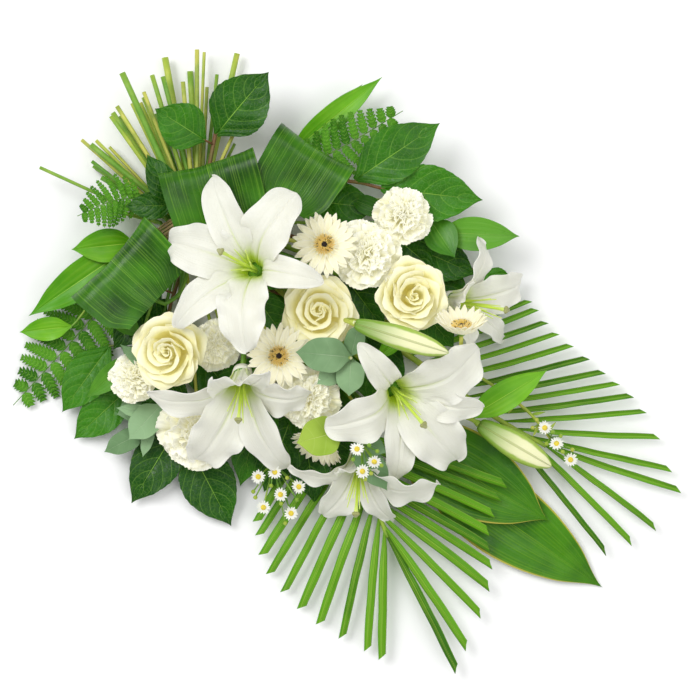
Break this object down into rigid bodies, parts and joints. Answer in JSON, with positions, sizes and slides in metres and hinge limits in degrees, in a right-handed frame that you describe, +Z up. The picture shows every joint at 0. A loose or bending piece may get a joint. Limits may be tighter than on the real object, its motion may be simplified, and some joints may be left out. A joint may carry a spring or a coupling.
{
  "type": "funeral flower sheaf",
  "caption": "Tied funeral sheaf lying flat: white lilies, cream roses, carnations and gerberas over palm, fern and broad glossy leaves, its cut stems fanned out behind the tie.",
  "frame": {"origin": "middle of the sheaf's box, on the surface that it lies on", "axes": "+Z up from that surface, +X to the right and +Y towards the cut stems, as the sheaf is seen from above"},
  "size_m": [0.6816, 0.628, 0.151],
  "materials": {
    "lily_petal": "satin white petal, green-yellow rib at the throat",
    "lily_bud": "satin pale green-yellow bud with greener ribs",
    "rose_petal": "soft cream-yellow petal",
    "carnation_petal": "soft matte warm white petal",
    "gerbera_ray": "matte cream ray",
    "gerbera_disc": "matte tan disc with a dark eye",
    "aster": "matte white rays with a yellow eye, green stalks",
    "stem": "satin green stem",
    "aspidistra_leaf": "glossy dark green leaf with fine ribs along it",
    "palm_leaf": "glossy yellow-green leaflets",
    "fern_leaf": "satin mid green fern",
    "salal_leaf": "glossy dark green leaf with netted veins",
    "bright_leaf": "satin fresh green leaf",
    "ruscus_leaf": "satin dark green leaf",
    "eucalyptus_leaf": "matte grey-green leaf with a bloom",
    "tie": "matte straw-coloured band"
  },
  "bodies": {
    "root": {"lily_1_tepals": "lily_petal", "lily_1_stem": "stem", "lily_2_tepals": "lily_petal", "lily_2_stem": "stem", "lily_3_tepals": "lily_petal", "lily_3_stem": "stem", "lily_4_tepals": "lily_petal", "lily_4_stem": "stem", "lily_5_tepals": "lily_petal", "lily_5_stem": "stem", "lily_bud_1": "lily_bud", "lily_bud_2": "lily_bud", "rose_1": "rose_petal", "rose_2": "rose_petal", "rose_3": "rose_petal", "carnation_1": "carnation_petal", "carnation_2": "carnation_petal", "carnation_3": "carnation_petal", "carnation_4": "carnation_petal", "carnation_5": "carnation_petal", "carnation_6": "carnation_petal", "gerbera_1_rays": "gerbera_ray", "gerbera_1_disc": "gerbera_disc", "gerbera_2_rays": "gerbera_ray", "gerbera_2_disc": "gerbera_disc", "gerbera_3_rays": "gerbera_ray", "gerbera_3_disc": "gerbera_disc", "gerbera_4_rays": "gerbera_ray", "gerbera_4_disc": "gerbera_disc", "rose_stem_1": "stem", "rose_stems_2": "stem", "carnation_stems_1": "stem", "carnation_stems_2": "stem", "carnation_stem_3": "stem", "gerbera_stems_1": "stem", "gerbera_stems_2": "stem", "aster_1": "aster", "aster_2": "aster", "aster_3": "aster", "aspidistra_loop_1": "aspidistra_leaf", "aspidistra_loop_2": "aspidistra_leaf", "aspidistra_loop_3": "aspidistra_leaf", "palm_frond_1": "palm_leaf", "palm_frond_2": "palm_leaf", "fern_frond_1": "fern_leaf", "fern_frond_2": "fern_leaf", "fern_frond_3": "fern_leaf", "aspidistra_leaves": "aspidistra_leaf", "salal_left": "salal_leaf", "salal_top": "salal_leaf", "salal_right": "salal_leaf", "light_leaves": "bright_leaf", "ruscus_left": "ruscus_leaf", "ruscus_right": "ruscus_leaf", "lily_leaves": "bright_leaf", "eucalyptus_left": "eucalyptus_leaf", "eucalyptus_centre": "eucalyptus_leaf", "eucalyptus_low": "eucalyptus_leaf", "tie": "tie"}
  },
  "joints": []
}
